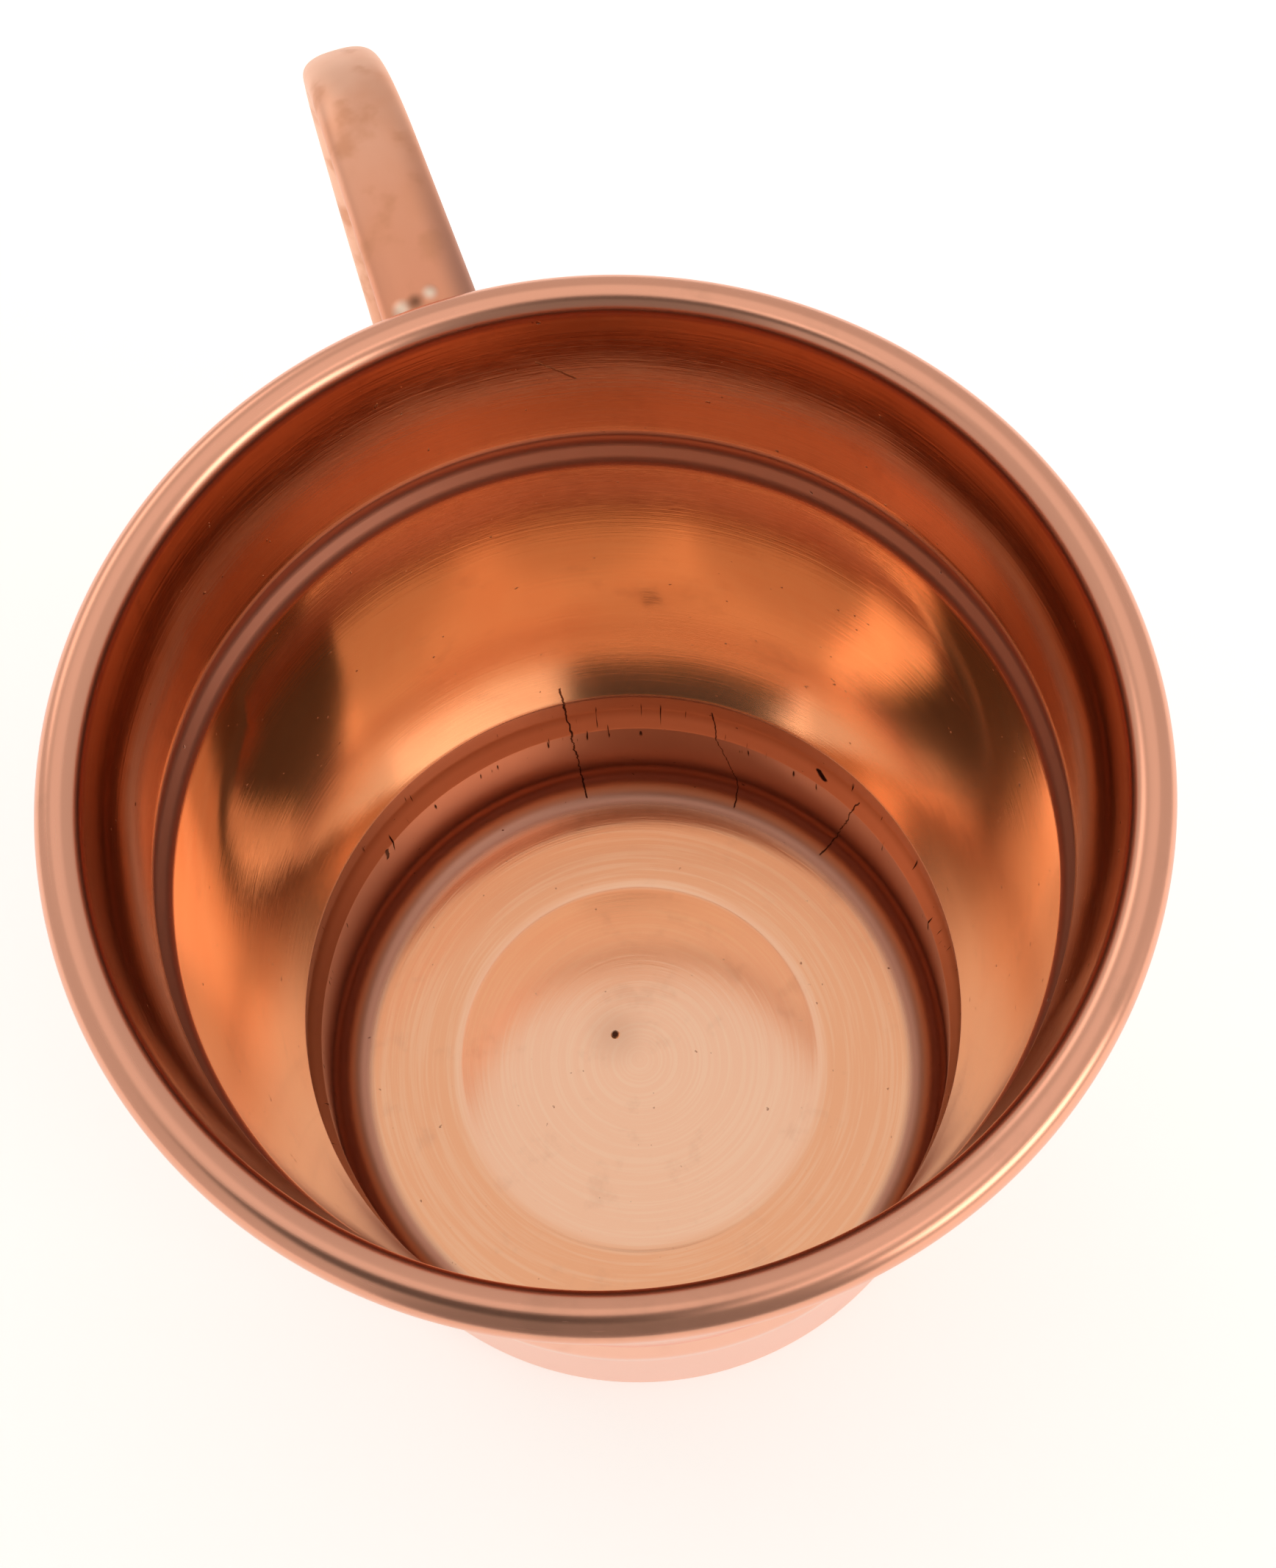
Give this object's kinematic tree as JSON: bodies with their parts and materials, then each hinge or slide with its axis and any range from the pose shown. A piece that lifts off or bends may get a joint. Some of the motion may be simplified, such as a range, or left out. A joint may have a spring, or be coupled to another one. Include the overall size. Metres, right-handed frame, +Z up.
{
  "type": "copper mug",
  "caption": "Straight-sided drinking mug spun from copper, with a rolled lip, raised bands, a flared foot and a brazed strap handle.",
  "frame": {"origin": "centre of the flat disc that the mug stands on, at table height", "axes": "+Z up along the cup's axis, +X from the axis towards the handle, +Y to the left of the handle seen from the cup"},
  "size_m": [0.1322, 0.088, 0.1162],
  "materials": {
    "cup_copper": "bare copper, spun and brushed in rings, satin outside",
    "handle_copper": "bare copper, satin, with brown tarnish",
    "braze": "copper-coloured filler, lightly oxidised"
  },
  "bodies": {
    "root": {"cup_body": "cup_copper", "handle": "handle_copper", "upper_braze": "braze", "lower_braze": "braze"}
  },
  "joints": []
}
